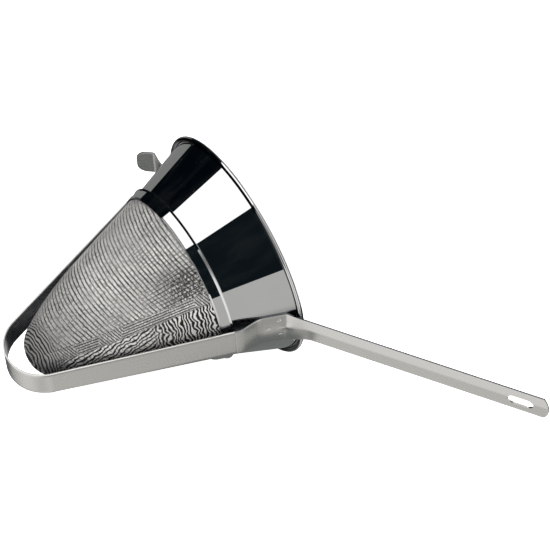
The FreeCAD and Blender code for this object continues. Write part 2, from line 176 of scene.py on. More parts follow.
class StripSizes(bpy.types.PropertyGroup):
    """Sizes of the guard strap, the handle and the pot hook, bent from one sheet."""
    sheet: millimetres("Sheet", "Thickness of the strips", 1.5)
    edge_round: millimetres("Edge round", "Rounding of the sheet's edges", 0.15)
    guard_width: millimetres("Guard width", "Width of the strap", 25.0)
    guard_top_width: millimetres("Guard top width", "Width of the strap where it meets the handle", 30.0)
    guard_half_angle: degrees("Guard half angle", "Lean of the strap's legs", 19.8)
    guard_standoff: millimetres("Guard standoff", "Gap between the strap and the ring", 2.7)
    guard_tip_gap: millimetres("Guard tip gap", "Gap between the strap and the tip of the cone", 15.8)
    guard_joint_depth: millimetres("Guard joint depth", "Where the strap meets the handle", 53.0)
    joggle_start_depth: millimetres("Joggle start", "Where a strip leaves the leg's line", 48.0)
    joggle_end_depth: millimetres("Joggle end", "Where a strip reaches the collar", 31.0)
    joggle_radius: millimetres("Joggle radius", "Bends of the joggle", 18.0)
    guard_end_depth: millimetres("Guard end depth", "End of the strap under the hook", 17.0)
    foot_width: millimetres("Foot width", "Handle's foot on the collar", 34.5)
    handle_bend_depth: millimetres("Handle bend depth", "Where the handle leaves the collar", 11.2)
    handle_bend_radius: millimetres("Handle bend radius", "Bend between foot and handle", 2.5)
    handle_angle: degrees("Handle angle", "Rise of the handle from the rim's plane", 33.6)
    handle_length: millimetres("Handle length", "From the bend to the end", 223.5)
    handle_width: millimetres("Handle width", "Width of the grip", 26.6)
    fold_angle: degrees("Fold angle", "Slope of each side of the soft fold", 4.5)
    fold_radius: millimetres("Fold radius", "Roundness of the soft fold", 12.0)
    fold_drop: millimetres("Fold drop", "Fold below the line of the handle's bend", 2.7)
    fold_shift: millimetres("Fold shift", "Fold off the handle's middle", 2.6)
    fold_run: millimetres("Fold run", "Length over which the fold grows", 19.0)
    handle_end_sweep: millimetres("Handle end sweep", "Radius of the handle's bowed end", 22.0)
    dart_height: millimetres("Dart height", "Nose where the fold starts at the foot", 0.9)
    dart_length: millimetres("Dart length", "Reach of the nose along the handle", 4.5)
    dart_width: millimetres("Dart width", "Reach of the nose across the handle", 3.0)
    slot_length: millimetres("Slot length", "Hanging slot", 22.0)
    slot_width: millimetres("Slot width", "Hanging slot", 10.5)
    slot_end_margin: millimetres("Slot margin", "Sheet between the slot and the end", 13.0)
    hook_width: millimetres("Hook width", "Width of the pot hook", 26.0)
    hook_foot_margin: millimetres("Hook foot margin", "Bare strap below the hook's foot", 1.5)
    hook_bend_depth: millimetres("Hook bend depth", "Where the hook leaves the collar", 13.0)
    hook_bend_radius: millimetres("Hook bend radius", "Bends of the hook", 2.2)
    hook_shelf: millimetres("Hook shelf", "Length of the shelf", 17.0)
    hook_shelf_rise: degrees("Hook rise", "Rise of the shelf", 8.0)
    hook_flatten_run: millimetres("Hook flatten run", "Length over which the shelf flattens", 8.5)
    hook_lip: millimetres("Hook lip", "Length of the lip", 15.0)
    hook_lip_drop: degrees("Hook drop", "Slope of the lip", 50.0)
    hook_end_radius: millimetres("Hook end radius", "Corners of the lip", 9.0)
    weld_diameter: millimetres("Weld diameter", "Spot welds", 4.2)
    weld_height: millimetres("Weld height", "Spot welds", 0.3)
    weld_half_span: millimetres("Weld half span", "Half the distance between side spots", 8.9)
    handle_weld_depth: millimetres("Handle weld depth", "Upper spots of the foot", 16.4)
    handle_weld_rise: millimetres("Handle weld rise", "From the upper spots to the lower", 8.9)
    handle_weld_shift: millimetres("Handle weld shift", "Spots off the foot's middle", -3.4)
    hook_weld_depth: millimetres("Hook weld depth", "Spots of the hook's foot", 21.0)


class FinishColours(bpy.types.PropertyGroup):
    """Colours of the finishes."""
    polished: colour("Polished steel", "Mirror collar and ring", (0.80, 0.80, 0.80))
    satin: colour("Satin steel", "Guard, handle and hook", (0.74, 0.73, 0.71))
    # Painted shade: a darker copy of the satin for the strips' inner faces.
    inner_shade: colour("Mill steel", "Inner faces of the strips", (0.55, 0.57, 0.60))
    # Painted shade: near black for the edges of the handle and the hook.
    edge_shade: colour("Sheared steel", "Edges of the handle and the hook", (0.22, 0.23, 0.24))
    wire_light: colour("Wire", "Lit wires of the cloth", (0.86, 0.845, 0.82))
    # Painted shade: the dark moire lines stand for shade seen through gaps between wires.
    wire_gap_shade: colour("Wire gaps", "Dark lines between groups of wires", (0.012, 0.012, 0.012))


class StageSizes(bpy.types.PropertyGroup):
    """Camera of the photograph, and the studio."""
    eye: coordinates("Camera", "Camera position", 0.18715, -2.29976, 0.91718)
    look_turn: degrees("Look turn", "Direction of the view from +Y towards +X", -4.839)
    look_down: degrees("Look down", "Slope of the view below the horizon", 20.02)
    roll: degrees("Roll", "Roll of the camera", 0.921)
    sensor: camera_millimetres("Sensor", "Width of the sensor", 36.0)
    lens: camera_millimetres("Lens", "Focal length", 196.36)
    floor_size: millimetres("Floor", "Side of the floor", 30000.0)
    card_front: millimetres("Card front", "From the part's front to the card at the tip", 24.0)
    card_near: millimetres("Card near", "Front of the card below the handle's foot", -40.0)
    card_left: millimetres("Card left", "From the part's left end to the card", 45.0)
    card_right: millimetres("Card right", "Right end of the card", 14.0)
    card_far: millimetres("Card far", "Back of the card below the rim", 35.0)
    card_waist: coordinates("Card waist", "Inner corner of the card", -0.030, 0.010)
    hook_card: coordinates("Hook card", "Middle of the card below the hook", -0.160, 0.085)
    hook_card_half: coordinates("Hook card half", "Half the sides of the card below the hook", 0.070, 0.050)
    card_lift: millimetres("Card lift", "Card above the floor", 0.5)


def sizes(group):
    return getattr(bpy.context.scene, group)


class Upright:
    """The strainer's own upright frame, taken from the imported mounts."""

    def __init__(self, record):
        mounts = {mount["name"]: mount for mount in record["mounts"]}
        self.origin = Vector(mounts["stand_seat"]["pos_m"])
        axis = Vector(mounts["stand_seat"]["axis"]).normalized()
        towards = Vector(mounts["hang_slot"]["pos_m"]) - self.origin
        side = (towards - axis * towards.dot(axis)).normalized()
        self.turn = Matrix((side, axis.cross(side), axis)).transposed()
        self.matrix = Matrix.Translation(self.origin) @ self.turn.to_4x4()


upright = Upright(frame["record"])


class Shape:
    """Lines of the strainer in its upright frame, worked out from the driving sizes, in metres."""

    def __init__(self):
        c = sizes("strainer_collar")
        w = sizes("strainer_cloth")
        s = sizes("strainer_strips")
        self.collar, self.cloth, self.strips = c, w, s
        self.bead_radius = c.bead_diameter / 2
        self.bead_ring = c.rim_diameter / 2 - self.bead_radius
        self.waist = Vector((c.waist_diameter / 2, c.ring_height - c.ring_depth))
        self.neck = Vector((c.neck_diameter / 2, -c.ring_depth))
        to_bead = Vector((self.bead_ring, 0)) - self.waist
        curl_inside = self.bead_radius - c.sheet
        self.flare = math.atan2(to_bead.x, to_bead.y) - math.asin(curl_inside / to_bead.length)
        self.skirt = math.atan2(self.waist.x - self.neck.x, c.ring_height)
        self.lean = w.half_angle
        self.fine_out = w.nest_gap + w.fine_thickness
        self.support_in = self.fine_out + w.nest_gap
        self.support_out = self.support_in + w.support_thickness
        self.ring_in = self.support_out + w.nest_gap
        self.ring_out = self.ring_in + c.ring_thickness
        self.apex = -c.ring_depth - self.neck.x / math.tan(self.lean)
        self.tip_depth = -self.cloth_line(self.support_out)[-1].y
        self.foot_out = w.nest_gap + s.sheet
        self.guard_lines()

    def flare_radius(self, z, out=0.0):
        return self.waist.x + (z - self.waist.y) * math.tan(self.flare) + out / math.cos(self.flare)

    def skirt_radius(self, z, out=0.0):
        return self.neck.x + (z - self.neck.y) * math.tan(self.skirt) + out / math.cos(self.skirt)

    def cloth_radius(self, z, out=0.0):
        return self.neck.x + (z - self.neck.y) * math.tan(self.lean) + out / math.cos(self.lean)

    def cloth_line(self, out, steps=24):
        """Points (radius, height) of the cloth from the ring's foot to the tip, a distance off the wall."""
        w = self.cloth
        start = Vector((self.cloth_radius(-w.straight_depth), -w.straight_depth))
        shoulder = start - ray(-self.lean) * w.shoulder_radius
        drop = math.sqrt((w.shoulder_radius - w.tip_radius) ** 2 - shoulder.x ** 2)
        tip = Vector((0, shoulder.y - drop))
        meet = math.atan2(tip.y - shoulder.y, tip.x - shoulder.x)
        line = [Vector((self.cloth_radius(z, out), z)) for z in spread(self.neck.y, -w.straight_depth, steps)]
        line += arc(shoulder, w.shoulder_radius + out, -self.lean, meet, steps)[1:]
        line += arc(tip, w.tip_radius + out, meet, -math.pi / 2, steps)[1:]
        return line

    def guard_lines(self):
        """Straight legs of the guard, and the round loop that joins them below the tip."""
        s, c = self.strips, self.collar
        self.guard_lean = s.guard_half_angle
        self.leg_at_ring = self.skirt_radius(-c.ring_depth, self.ring_out)
        self.leg_at_ring += (s.guard_standoff + s.sheet) / math.cos(self.guard_lean)
        reach = self.leg_at_ring * math.cos(self.guard_lean) + c.ring_depth * math.sin(self.guard_lean)
        depth = self.tip_depth + s.guard_tip_gap + s.sheet
        self.loop_radius = (reach - depth * math.sin(self.guard_lean)) / (1 - math.sin(self.guard_lean))
        self.loop_centre = Vector((0, self.loop_radius - depth))
        self.joggle = [self.leg(s.guard_joint_depth), self.leg(s.joggle_start_depth)]
        self.joggle.append(self.wall(s.joggle_end_depth, self.foot_out))
        self.far_end = [*self.joggle, self.wall(s.guard_end_depth, self.foot_out)]

    def leg(self, depth):
        spread_out = (self.collar.ring_depth - depth) * math.tan(self.guard_lean)
        return Vector((self.leg_at_ring + spread_out, -depth))

    def wall(self, depth, out):
        return Vector((self.flare_radius(-depth, out), -depth))


def spread(start, end, steps):
    """Evenly spread values from start to end, both kept."""
    return [start + (end - start) * i / steps for i in range(steps + 1)]


def ray(angle):
    """Arrow of length 1 at an angle from the first axis towards the second."""
    return Vector((math.cos(angle), math.sin(angle)))


def around(radius, turn, z):
    """Point at a height, a distance from the axis towards one side of the cone."""
    return Vector((radius * math.cos(turn), radius * math.sin(turn), z))


def arc(centre, radius, start, end, steps):
    return [centre + ray(angle) * radius for angle in spread(start, end, steps)]


def eased(value):
    value = min(1.0, max(0.0, value))
    return value * value * (3 - 2 * value)


class StripPath:
    """Route of a bent strip's outer face: straight runs and tangent arcs, as (point, lean) at a distance."""

    def __init__(self, corners, radii):
        self.pieces, self.bends, self.length = [], [], 0.0
        start = corners[0]
        for before, corner, after, radius in zip(corners, corners[1:], corners[2:], radii):
            lean_in, lean_out = self.lean(before, corner), self.lean(corner, after)
            reach = radius * math.tan(abs(lean_out - lean_in) / 2)
            bend = corner - self.along(lean_in) * reach
            self.add(start, lean_in, lean_in, (bend - start).length)
            bend_from = self.length
            self.add(bend, lean_in, lean_out, radius * abs(lean_out - lean_in))
            self.bends.append((bend_from, self.length))
            start = corner + self.along(lean_out) * reach
        last = self.lean(corners[-2], corners[-1])
        self.add(start, last, last, (corners[-1] - start).length)

    def add(self, start, lean_in, lean_out, length):
        self.pieces.append((start, lean_in, lean_out, length))
        self.length += length

    @staticmethod
    def lean(a, b):
        return math.atan2(b.x - a.x, b.y - a.y)

    @staticmethod
    def along(lean):
        return Vector((math.sin(lean), math.cos(lean)))

    def at(self, distance):
        for start, lean_in, lean_out, length in self.pieces[:-1]:
            if distance < length:
                break
            distance -= length
        else:
            start, lean_in, lean_out, length = self.pieces[-1]
        if lean_in == lean_out:
            return start + self.along(lean_in) * distance, lean_in
        radius = length / (lean_out - lean_in)
        lean = lean_in + distance / radius
        return start + (ray(-lean_in) - ray(-lean)) * radius, lean


# Modelling helpers

# Finishes of the strips: brushed steel, then darker copies of it as painted shade on inner faces and on
# edges.
STRIP_FINISHES = ("brushed_steel", "mill_steel", "sheared_steel")


def deselect():
    if bpy.context.object and bpy.context.object.mode != "OBJECT":
        bpy.ops.object.mode_set(mode="OBJECT")
    bpy.ops.object.select_all(action="DESELECT")


def named(name):
    piece = bpy.context.object
    piece.name = name
    piece.data.name = name
    return piece


def select_where(piece, test):
    """In edit mode, select the vertices that pass a test on their place."""
    mesh = bmesh.from_edit_mesh(piece.data)
    for vertex in mesh.verts:
        vertex.select = test(vertex.co)
    mesh.select_flush(True)
    mesh.select_flush(False)
    bmesh.update_edit_mesh(piece.data)


def apply_modifier(piece, kind, **settings):
    modifier = piece.modifiers.new(kind.lower(), kind)
    for key, value in settings.items():
        setattr(modifier, key, value)
    bpy.context.view_layer.objects.active = piece
    bpy.ops.object.modifier_apply(modifier=modifier.name)


def turned(name, line, segments, closed=False, pole=False):
    """Extrude a circle along a line of (radius, height) points, and close it on itself or at its pole."""
    deselect()
    first = line[0]
    bpy.ops.mesh.primitive_circle_add(vertices=segments, radius=first.x, location=(0, 0, first.y))
    bpy.ops.object.transform_apply(location=True, rotation=True, scale=True)
    piece = named(name)
    bpy.ops.object.mode_set(mode="EDIT")
    bpy.ops.mesh.select_mode(type="VERT")
    bpy.ops.mesh.select_all(action="SELECT")
    for before, after in zip(line, line[1:]):
        grow = max(after.x, 1e-5) / before.x
        bpy.ops.mesh.extrude_region_move(TRANSFORM_OT_translate={"value": (0, 0, after.y - before.y)})
        bpy.ops.transform.resize(value=(grow, grow, 1), center_override=(0, 0, after.y))
    if pole:
        bpy.ops.mesh.merge(type="CENTER")
    if closed:
        ends = (first, line[-1])
        select_where(piece, lambda co: any(near_ring(co, end) for end in ends))
        bpy.ops.mesh.select_mode(type="EDGE")
        bpy.ops.mesh.bridge_edge_loops()
        bpy.ops.mesh.select_mode(type="VERT")
    bpy.ops.mesh.select_all(action="SELECT")
    bpy.ops.mesh.normals_make_consistent(inside=False)
    bpy.ops.object.mode_set(mode="OBJECT")
    return piece


def near_ring(co, point, reach=2e-6):
    return abs(math.hypot(co.x, co.y) - point.x) < reach and abs(co.z - point.y) < reach


def sheet_strip(name, place, sheet, edge_round, rows, columns):
    """Grid bent to a strip's outer face by a place(along, across) rule, then thickened and rounded."""
    deselect()
    bpy.ops.mesh.primitive_grid_add(x_subdivisions=rows, y_subdivisions=columns, size=1)
    piece = named(name)
    grid = piece.data.uv_layers.active or piece.data.uv_layers.new(name="strip")
    grid.name = "strip"
    flat = [(vertex.co.x + 0.5, 2 * vertex.co.y) for vertex in piece.data.vertices]
    laid = [place(along, across) for along, across in flat]
    for vertex, (point, *_) in zip(piece.data.vertices, laid):
        vertex.co = point
    for loop in piece.data.loops:
        grid.data[loop.index].uv = laid[loop.vertex_index][1:]
    for _ in STRIP_FINISHES:
        piece.data.materials.append(None)
    apply_modifier(piece, "SOLIDIFY", thickness=sheet, offset=-1.0, use_even_offset=True, material_offset=1,
                   material_offset_rim=2)
    apply_modifier(piece, "BEVEL", width=edge_round, segments=2, limit_method="ANGLE",
                   angle_limit=math.radians(50))
    return piece


def finish(piece, finishes, slot, *nodes, sharp=30.0):
    """Lay a piece down in the frame, smooth it, give it its finishes and hand it to the frame."""
    deselect()
    piece.data.transform(upright.matrix)
    piece.data.update()
    piece.select_set(True)
    bpy.context.view_layer.objects.active = piece
    bpy.ops.object.shade_smooth_by_angle(angle=math.radians(sharp))
    while len(piece.data.materials) < len(finishes):
        piece.data.materials.append(None)
    for index, material in enumerate(finishes):
        piece.data.materials[index] = material
    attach(piece, "root")
    if nodes:
        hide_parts(*nodes)
    piece.select_set(False)


# Shader expressions

class Value:
    """A socket's value, for sums written as plain expressions."""

    def __init__(self, paint, socket):
        self.paint = paint
        self.socket = socket

    def __add__(self, other):
        return self.paint.maths("ADD", self, other)

    def __sub__(self, other):
        return self.paint.maths("SUBTRACT", self, other)

    def __rsub__(self, other):
        return self.paint.maths("SUBTRACT", other, self)

    def __mul__(self, other):
        return self.paint.maths("MULTIPLY", self, other)

    def __truediv__(self, other):
        return self.paint.maths("DIVIDE", self, other)

    __radd__ = __add__


class Paint:
    """Node tree of one material, or of the studio's surroundings."""

    def __init__(self, tree):
        self.tree = tree
        tree.nodes.clear()

    def node(self, kind, settings=None, links=None, out=0):
        """Add a node, with its settings first and then the values or links of its sockets."""
        node = self.tree.nodes.new(kind)
        for key, value in (settings or {}).items():
            if key == "stops":
                self.stops(node.color_ramp, value)
            else:
                setattr(node, key, value)
        for key, value in (links or {}).items():
            if isinstance(value, Value):
                self.tree.links.new(value.socket, node.inputs[key])
            else:
                node.inputs[key].default_value = value
        return Value(self, node.outputs[out]) if node.outputs else node

    @staticmethod
    def stops(ramp, stops):
        for position, tint in stops:
            stop = ramp.elements.new(position)
            stop.color = (*tint, 1.0)
        ramp.elements.remove(ramp.elements[0])
        ramp.elements.remove(ramp.elements[-1])

    def maths(self, operation, *values):
        return self.node("ShaderNodeMath", {"operation": operation}, dict(enumerate(values)))

    def ease(self, value, low, high, start=0.0, end=1.0):
        """Smooth step of a value between two limits."""
        return self.node("ShaderNodeMapRange", {"interpolation_type": "SMOOTHSTEP"}, {
            "Value": value, "From Min": low, "From Max": high, "To Min": start, "To Max": end})

    def noise(self, vector, scale, detail=2.0, rough=0.5):
        return self.node("ShaderNodeTexNoise", {}, {
            "Vector": vector, "Scale": scale, "Detail": detail, "Roughness": rough})

    def mix(self, factor, low, high):
        return self.node("ShaderNodeMix", {"data_type": "RGBA"}, {"Factor": factor, 6: low, 7: high}, out=2)

    def combine(self, x, y, z):
        return self.node("ShaderNodeCombineXYZ", {}, {"X": x, "Y": y, "Z": z})

    def split(self, vector):
        node = self.node("ShaderNodeSeparateXYZ", {}, {"Vector": vector}).socket.node
        return [Value(self, socket) for socket in node.outputs]

    def upright_place(self):
        """Object coordinates turned back into the strainer's upright frame."""
        place = self.node("ShaderNodeTexCoord", out="Object")
        return self.node("ShaderNodeMapping", {"vector_type": "TEXTURE"}, {
            "Vector": place, "Location": upright.origin, "Rotation": upright.turn.to_euler()})

    def surface(self, sockets):
        shader = self.node("ShaderNodeBsdfPrincipled", {}, sockets)
        self.node("ShaderNodeOutputMaterial", {}, {"Surface": shader})


def new_paint(name):
    material = bpy.data.materials.new(name)
    material.use_nodes = True
    return material, Paint(material.node_tree)


def rgba(tint):
    return (*tint, 1.0)


def mirror_steel():
    """Mirror polish with faint turned hairlines, a little haze, and a painted shade line under the rim's
    curl.
    """
    material, p = new_paint("mirror_steel")
    colours, shape = sizes("strainer_colours"), Shape()
    place = p.upright_place()
    x, y, z = p.split(place)
    turn = p.maths("ARCTAN2", y, x)
    radius = p.maths("SQRT", x * x + y * y)
    hairs = p.noise(p.combine(turn * 3.0, z * 900.0, 0.0), 1.0, detail=3.0)
    haze = p.noise(place, 28.0, detail=4.0)
    smears = p.ease(p.noise(p.combine(turn * 12.0, z * 30.0, 0.0), 1.0, detail=3.0), 0.42, 0.68)
    bead = shape.bead_radius
    # Painted shade: a near-black line on the wall just under the rim's curl, where the bead shades it.
    under = p.ease(z, -0.66 * bead, -0.86 * bead) * p.ease(z, -1.4 * bead, -1.2 * bead)
    curl = under * p.ease(radius, shape.bead_ring - 0.55 * bead, shape.bead_ring - 0.30 * bead)
    tint = p.mix(haze, rgba(c * 0.94 for c in colours.polished), rgba(colours.polished))
    tint = p.mix(curl, tint, rgba(c * 0.04 for c in colours.polished))
    bump = p.node("ShaderNodeBump", {}, {"Strength": 0.004, "Distance": 0.0001, "Height": hairs})
    roughness = haze * 0.012 + hairs * 0.01 + 0.002
    p.surface({"Base Color": tint, "Metallic": 1 - smears * 0.004, "Roughness": roughness, "Normal": bump})
    return material


def brushed_steel(name):
    """Brushed sheet with its grain along the strip; its copies for inner faces and edges are tinted darker as
    painted shade.
    """
    material, p = new_paint(name)
    colours = sizes("strainer_colours")
    steel = dict(zip(STRIP_FINISHES, (colours.satin, colours.inner_shade, colours.edge_shade)))[name]
    along, across = p.split(p.node("ShaderNodeUVMap", {"uv_map": "strip"}))[:2]
    grain = p.noise(p.combine(along * 40.0, across * 2600.0, 0.0), 1.0, detail=4.0, rough=0.6)
    cloud = p.noise(p.node("ShaderNodeTexCoord", out="Object"), 22.0, detail=3.0)
    tint = p.mix(cloud * 0.6 + grain * 0.4, rgba(c * 0.90 for c in steel), rgba(steel))
    bump = p.node("ShaderNodeBump", {}, {"Strength": 0.03, "Distance": 0.0002, "Height": grain})
    roughness = grain * 0.08 + cloud * 0.06 + 0.20
    p.surface({"Base Color": tint, "Metallic": 1.0, "Roughness": roughness, "Normal": bump})
    return material


def shadow_card():
    """Card that glows a dark grey: a painted shadow on the floor, seen only in reflections."""
    material, p = new_paint("shadow_card")
    p.surface({"Base Color": rgba((0, 0, 0)), "Roughness": 1.0, "Emission Color": rgba((0.165, 0.175, 0.172)),
               "Emission Strength": 1.0})
    return material


def wire_cloth(name, shape, depth):
    """Woven wire: dark lines along the hoops, a laddered lap, wavy moire below the lap and at the tip; the
    lines are painted shade seen through gaps between wires, and the cloth has painted shade where it turns
    away and near the tip.
    """
    material, p = new_paint(name)
    w, m, colours = shape.cloth, sizes("strainer_pattern"), sizes("strainer_colours")
    place = p.upright_place()
    x, y, z = p.split(place)
    radius = p.maths("SQRT", x * x + y * y)
    rise = z - shape.apex
    slant = p.maths("SQRT", radius * radius + rise * rise)
    turn = p.maths("ARCTAN2", y, x)

    def towards(angle):
        """Distance from the axis towards one side of the cone."""
        return x * math.cos(angle) + y * math.sin(angle)

    def facing(angle):
        return towards(angle) / p.maths("MAXIMUM", radius, 0.001)

    def lines(height, pitch, width, soft=0.14):
        """Mask of dark lines at even heights."""
        away = p.maths("ABSOLUTE", p.maths("FRACT", height / pitch) - 0.5) * 2
        return p.ease(away, width + soft, width - soft)

    def most(*masks):
        """The darkest of several masks."""
        darkest = masks[0]
        for mask in masks[1:]:
            darkest = p.maths("MAXIMUM", darkest, mask)
        return darkest

    # Zones
    off_seam = y * math.cos(w.seam_turn) - x * math.sin(w.seam_turn)
    seam_front = p.ease(towards(w.seam_turn), 0.0, 0.004)
    below = p.ease(off_seam, m.lap_half - 0.0015, m.lap_half + 0.0015)
    on_lap = p.ease(p.maths("ABSOLUTE", off_seam), m.lap_half + 0.0006, m.lap_half - 0.0006) * seam_front
    by_lap = p.ease(off_seam, -0.040, -0.022)
    tip = p.ease(slant, m.tip_top, m.tip_full)

    # Unevenness
    patch = p.noise(place, 34.0, detail=1.0)
    broad_ripple = p.noise(place, 120.0, detail=1.0) - 0.5
    fine_ripple = p.noise(place, 330.0, detail=2.0) - 0.5
    strokes = p.noise(p.combine(off_seam * 420.0, slant * 900.0, turn), 1.0, detail=2.0)
    strength = p.ease(p.noise(place, 170.0), 0.35, 0.62, 0.80, 1.0) * p.ease(patch, 0.35, 0.65, 1.0, 0.8)
    specks = p.ease(p.noise(place, 700.0, detail=1.0), 0.50, 0.62) * 0.6

    # Lines along the hoop wires above the lap, with fainter ones between and across
    hoop = slant * (facing(w.bow_turn) * w.bow + (1 - w.bow)) + fine_ripple * 0.0007
    group = m.group * w.wire_pitch
    main = lines(hoop + broad_ripple * 0.0010, group, m.line_share, 0.05) * strength
    second = lines(hoop + group * 0.4, group, 0.15, 0.10) * p.ease(patch, 0.50, 0.62) * 0.55
    faint = lines(hoop, w.wire_pitch, 0.34, 0.25) * 0.18
    by_ring = p.ease(slant + patch * 0.10, m.ring_low, m.ring_full)
    crossing = lines(turn * 0.070 + slant * 0.03 + fine_ripple * 0.0009, m.crossing_pitch, 0.24)
    crossing = crossing * by_ring * p.ease(by_lap, 0.0, 1.0, 0.5, 1.0)
    crossing = crossing * p.ease(off_seam + patch * 0.03, -0.075, -0.055)
    broken = p.ease(strokes, 0.56, 0.46) * by_lap * p.ease(slant, 0.175, 0.205) * 0.9
    ribs = lines(turn + fine_ripple * 0.012, m.rib_turn, 0.16, 0.12)
    ribs = ribs * p.ease(p.noise(place, 60.0), 0.45, 0.60) * 0.8
    weave = lines(turn, m.weave_turn, 0.35, 0.3) * p.ease(patch, 0.35, 0.65, 0.10, 0.36)
    above = most(main, second, crossing, broken, faint + most(weave, ribs), specks)

    # Wavy lines below the lap, and the ladder on it
    wavy = slant + broad_ripple * 0.0085 + fine_ripple * 0.0016
    coarse = lines(wavy, m.zebra_pitch, 0.58, 0.14)
    fanned = off_seam * 0.9 + slant * 0.30 + broad_ripple * 0.006 + fine_ripple * 0.0014
    fine = most(lines(fanned, m.fan_pitch, 0.46, 0.14), lines(wavy, m.fan_cross_pitch, 0.24, 0.2) * 0.6)
    zebra = p.mix(p.ease(slant + broad_ripple * 0.03, m.fan_top, m.fan_full), coarse, fine)
    lapped = lines(off_seam + fine_ripple * 0.0008, m.lap_pitch, 0.46)
    ladder = p.mix(p.ease(patch, 0.53, 0.56), lapped, lines(hoop, m.rung_pitch, 0.42))
    ladder = most(ladder, 0.25 + p.ease(strokes, 0.60, 0.50) * 0.4)
    tip_lines = lines(slant + broad_ripple * 0.004, m.tip_pitch, 0.55, 0.25)
    line = p.mix(on_lap, p.mix(below, above, zebra), ladder)
    line = p.mix(tip, line, most(tip_lines, 0.45))
    line = p.maths("MINIMUM", line * depth, 1.0)

    # Painted shade: wires that turn away from the bright side or lie near the tip are darker
    near_tip = p.ease(slant, m.shade_top, m.shade_full) * (0.75 - below * 0.5)
    shade = most(p.ease(facing(w.bright_turn), 0.95, 0.30), near_tip)
    lit = p.mix(shade, rgba(colours.wire_light), rgba(c * 0.62 for c in colours.wire_light))
    tint = p.mix(line, lit, rgba(colours.wire_gap_shade))
    bump = p.node("ShaderNodeBump", {}, {"Strength": 0.3, "Distance": 0.0004, "Height": 1 - line})
    p.surface({"Base Color": tint, "Metallic": 0.35, "Roughness": line * 0.2 + 0.42, "Normal": bump})
    return material


def shared(name, make, *args):
    """A finish by its name, made the first time it is asked for."""
    return bpy.data.materials.get(name) or make(*args)


def strip_finishes():
    """Brushed outer faces, inner faces darkened as painted shade, and edges painted near black as painted
    shade.
    """
    return [shared(name, brushed_steel, name) for name in STRIP_FINISHES]


# Pieces

SEGMENTS = 288


class BuildCollar(bpy.types.Operator):
    """Model the flared collar with its curled rim"""
    bl_idname = "strainer.collar"
    bl_label = "Collar"

    def execute(self, context):
        shape = Shape()
        c = shape.collar
        bead = Vector((shape.bead_ring, 0))
        start = math.pi - shape.flare
        end = start - c.curl_turn
        outer = arc(bead, shape.bead_radius, start, end, steps=48)
        inner = arc(bead, shape.bead_radius - c.sheet, end, start, steps=32)
        hold = c.bend_margin
        low = -c.ring_depth + c.skirt_margin
        inside_waist = shape.waist.y - c.waist_margin
        outside = [Vector((shape.flare_radius(z), z))
                   for z in spread(inner[-1].y - hold, shape.waist.y + hold, steps=6)]
        outside += [shape.waist, Vector((shape.skirt_radius(low), low))]
        inside = [Vector((shape.skirt_radius(low, -c.sheet), low))]
        inside += [Vector((shape.flare_radius(z, -c.sheet), z))
                   for z in spread(inside_waist, outer[0].y - hold, steps=6)]
        piece = turned("polished_collar", outer + inner + outside + inside, SEGMENTS, closed=True)
        finish(piece, [shared("mirror_steel", mirror_steel)], "polished_steel", "collar")
        wire = frame["nodes"]["rim_wire"]
        wire.data.materials.clear()
        wire.data.materials.append(shared("mirror_steel", mirror_steel))
        return {"FINISHED"}


class BuildRing(bpy.types.Operator):
    """Model the ring that clamps the cloth, with its slanted ridge"""
    bl_idname = "strainer.ring"
    bl_label = "Mesh ring"

    def execute(self, context):
        shape = Shape()
        c = shape.collar
        top, foot = shape.waist.y, -c.ring_depth
        crest = Vector((shape.skirt_radius(top, shape.ring_in + c.ridge_thickness), top))
        rise = c.ridge_thickness - c.ring_thickness
        under = top - c.ridge_round - rise / (math.tan(c.ridge_slope) - math.tan(shape.skirt))
        rounding = Vector((shape.skirt_radius(foot, shape.ring_out) - c.edge_round, foot + c.edge_round))
        line = [Vector((shape.skirt_radius(top, shape.ring_in), top))]
        ridge = crest - Vector((c.ridge_round, c.ridge_round))
        line += arc(ridge, c.ridge_round, math.pi / 2, 0, steps=8)
        line += [Vector((shape.skirt_radius(z, shape.ring_out), z)) for z in (under, foot + 2 * c.edge_round)]
        line += arc(rounding, c.edge_round, 0, -math.pi / 2, steps=10)
        line.append(Vector((shape.skirt_radius(foot, shape.ring_in), foot)))
        piece = turned("polished_ring", line, SEGMENTS, closed=True)
        finish(piece, [shared("mirror_steel", mirror_steel)], "polished_steel", "mesh_ring", sharp=14.0)
        return {"FINISHED"}


class BuildFineCloth(bpy.types.Operator):
    """Model the fine inner cloth as a thin closed shell"""
    bl_idname = "strainer.fine_cloth"
    bl_label = "Fine cloth"

    def execute(self, context):
        shape = Shape()
        line = shape.cloth_line(shape.fine_out)
        top = shape.waist.y - shape.cloth.cloth_top_margin
        line.insert(0, Vector((shape.skirt_radius(top, shape.fine_out), top)))
        piece = turned("fine_cloth", line, SEGMENTS, pole=True)
        apply_modifier(piece, "SOLIDIFY", thickness=shape.cloth.fine_thickness, offset=-1.0)
        material = shared("fine_wire_cloth", wire_cloth, "fine_wire_cloth", shape, 1.15)
        finish(piece, [material], "wire_cloth", "fine_mesh", sharp=40.0)
        return {"FINISHED"}


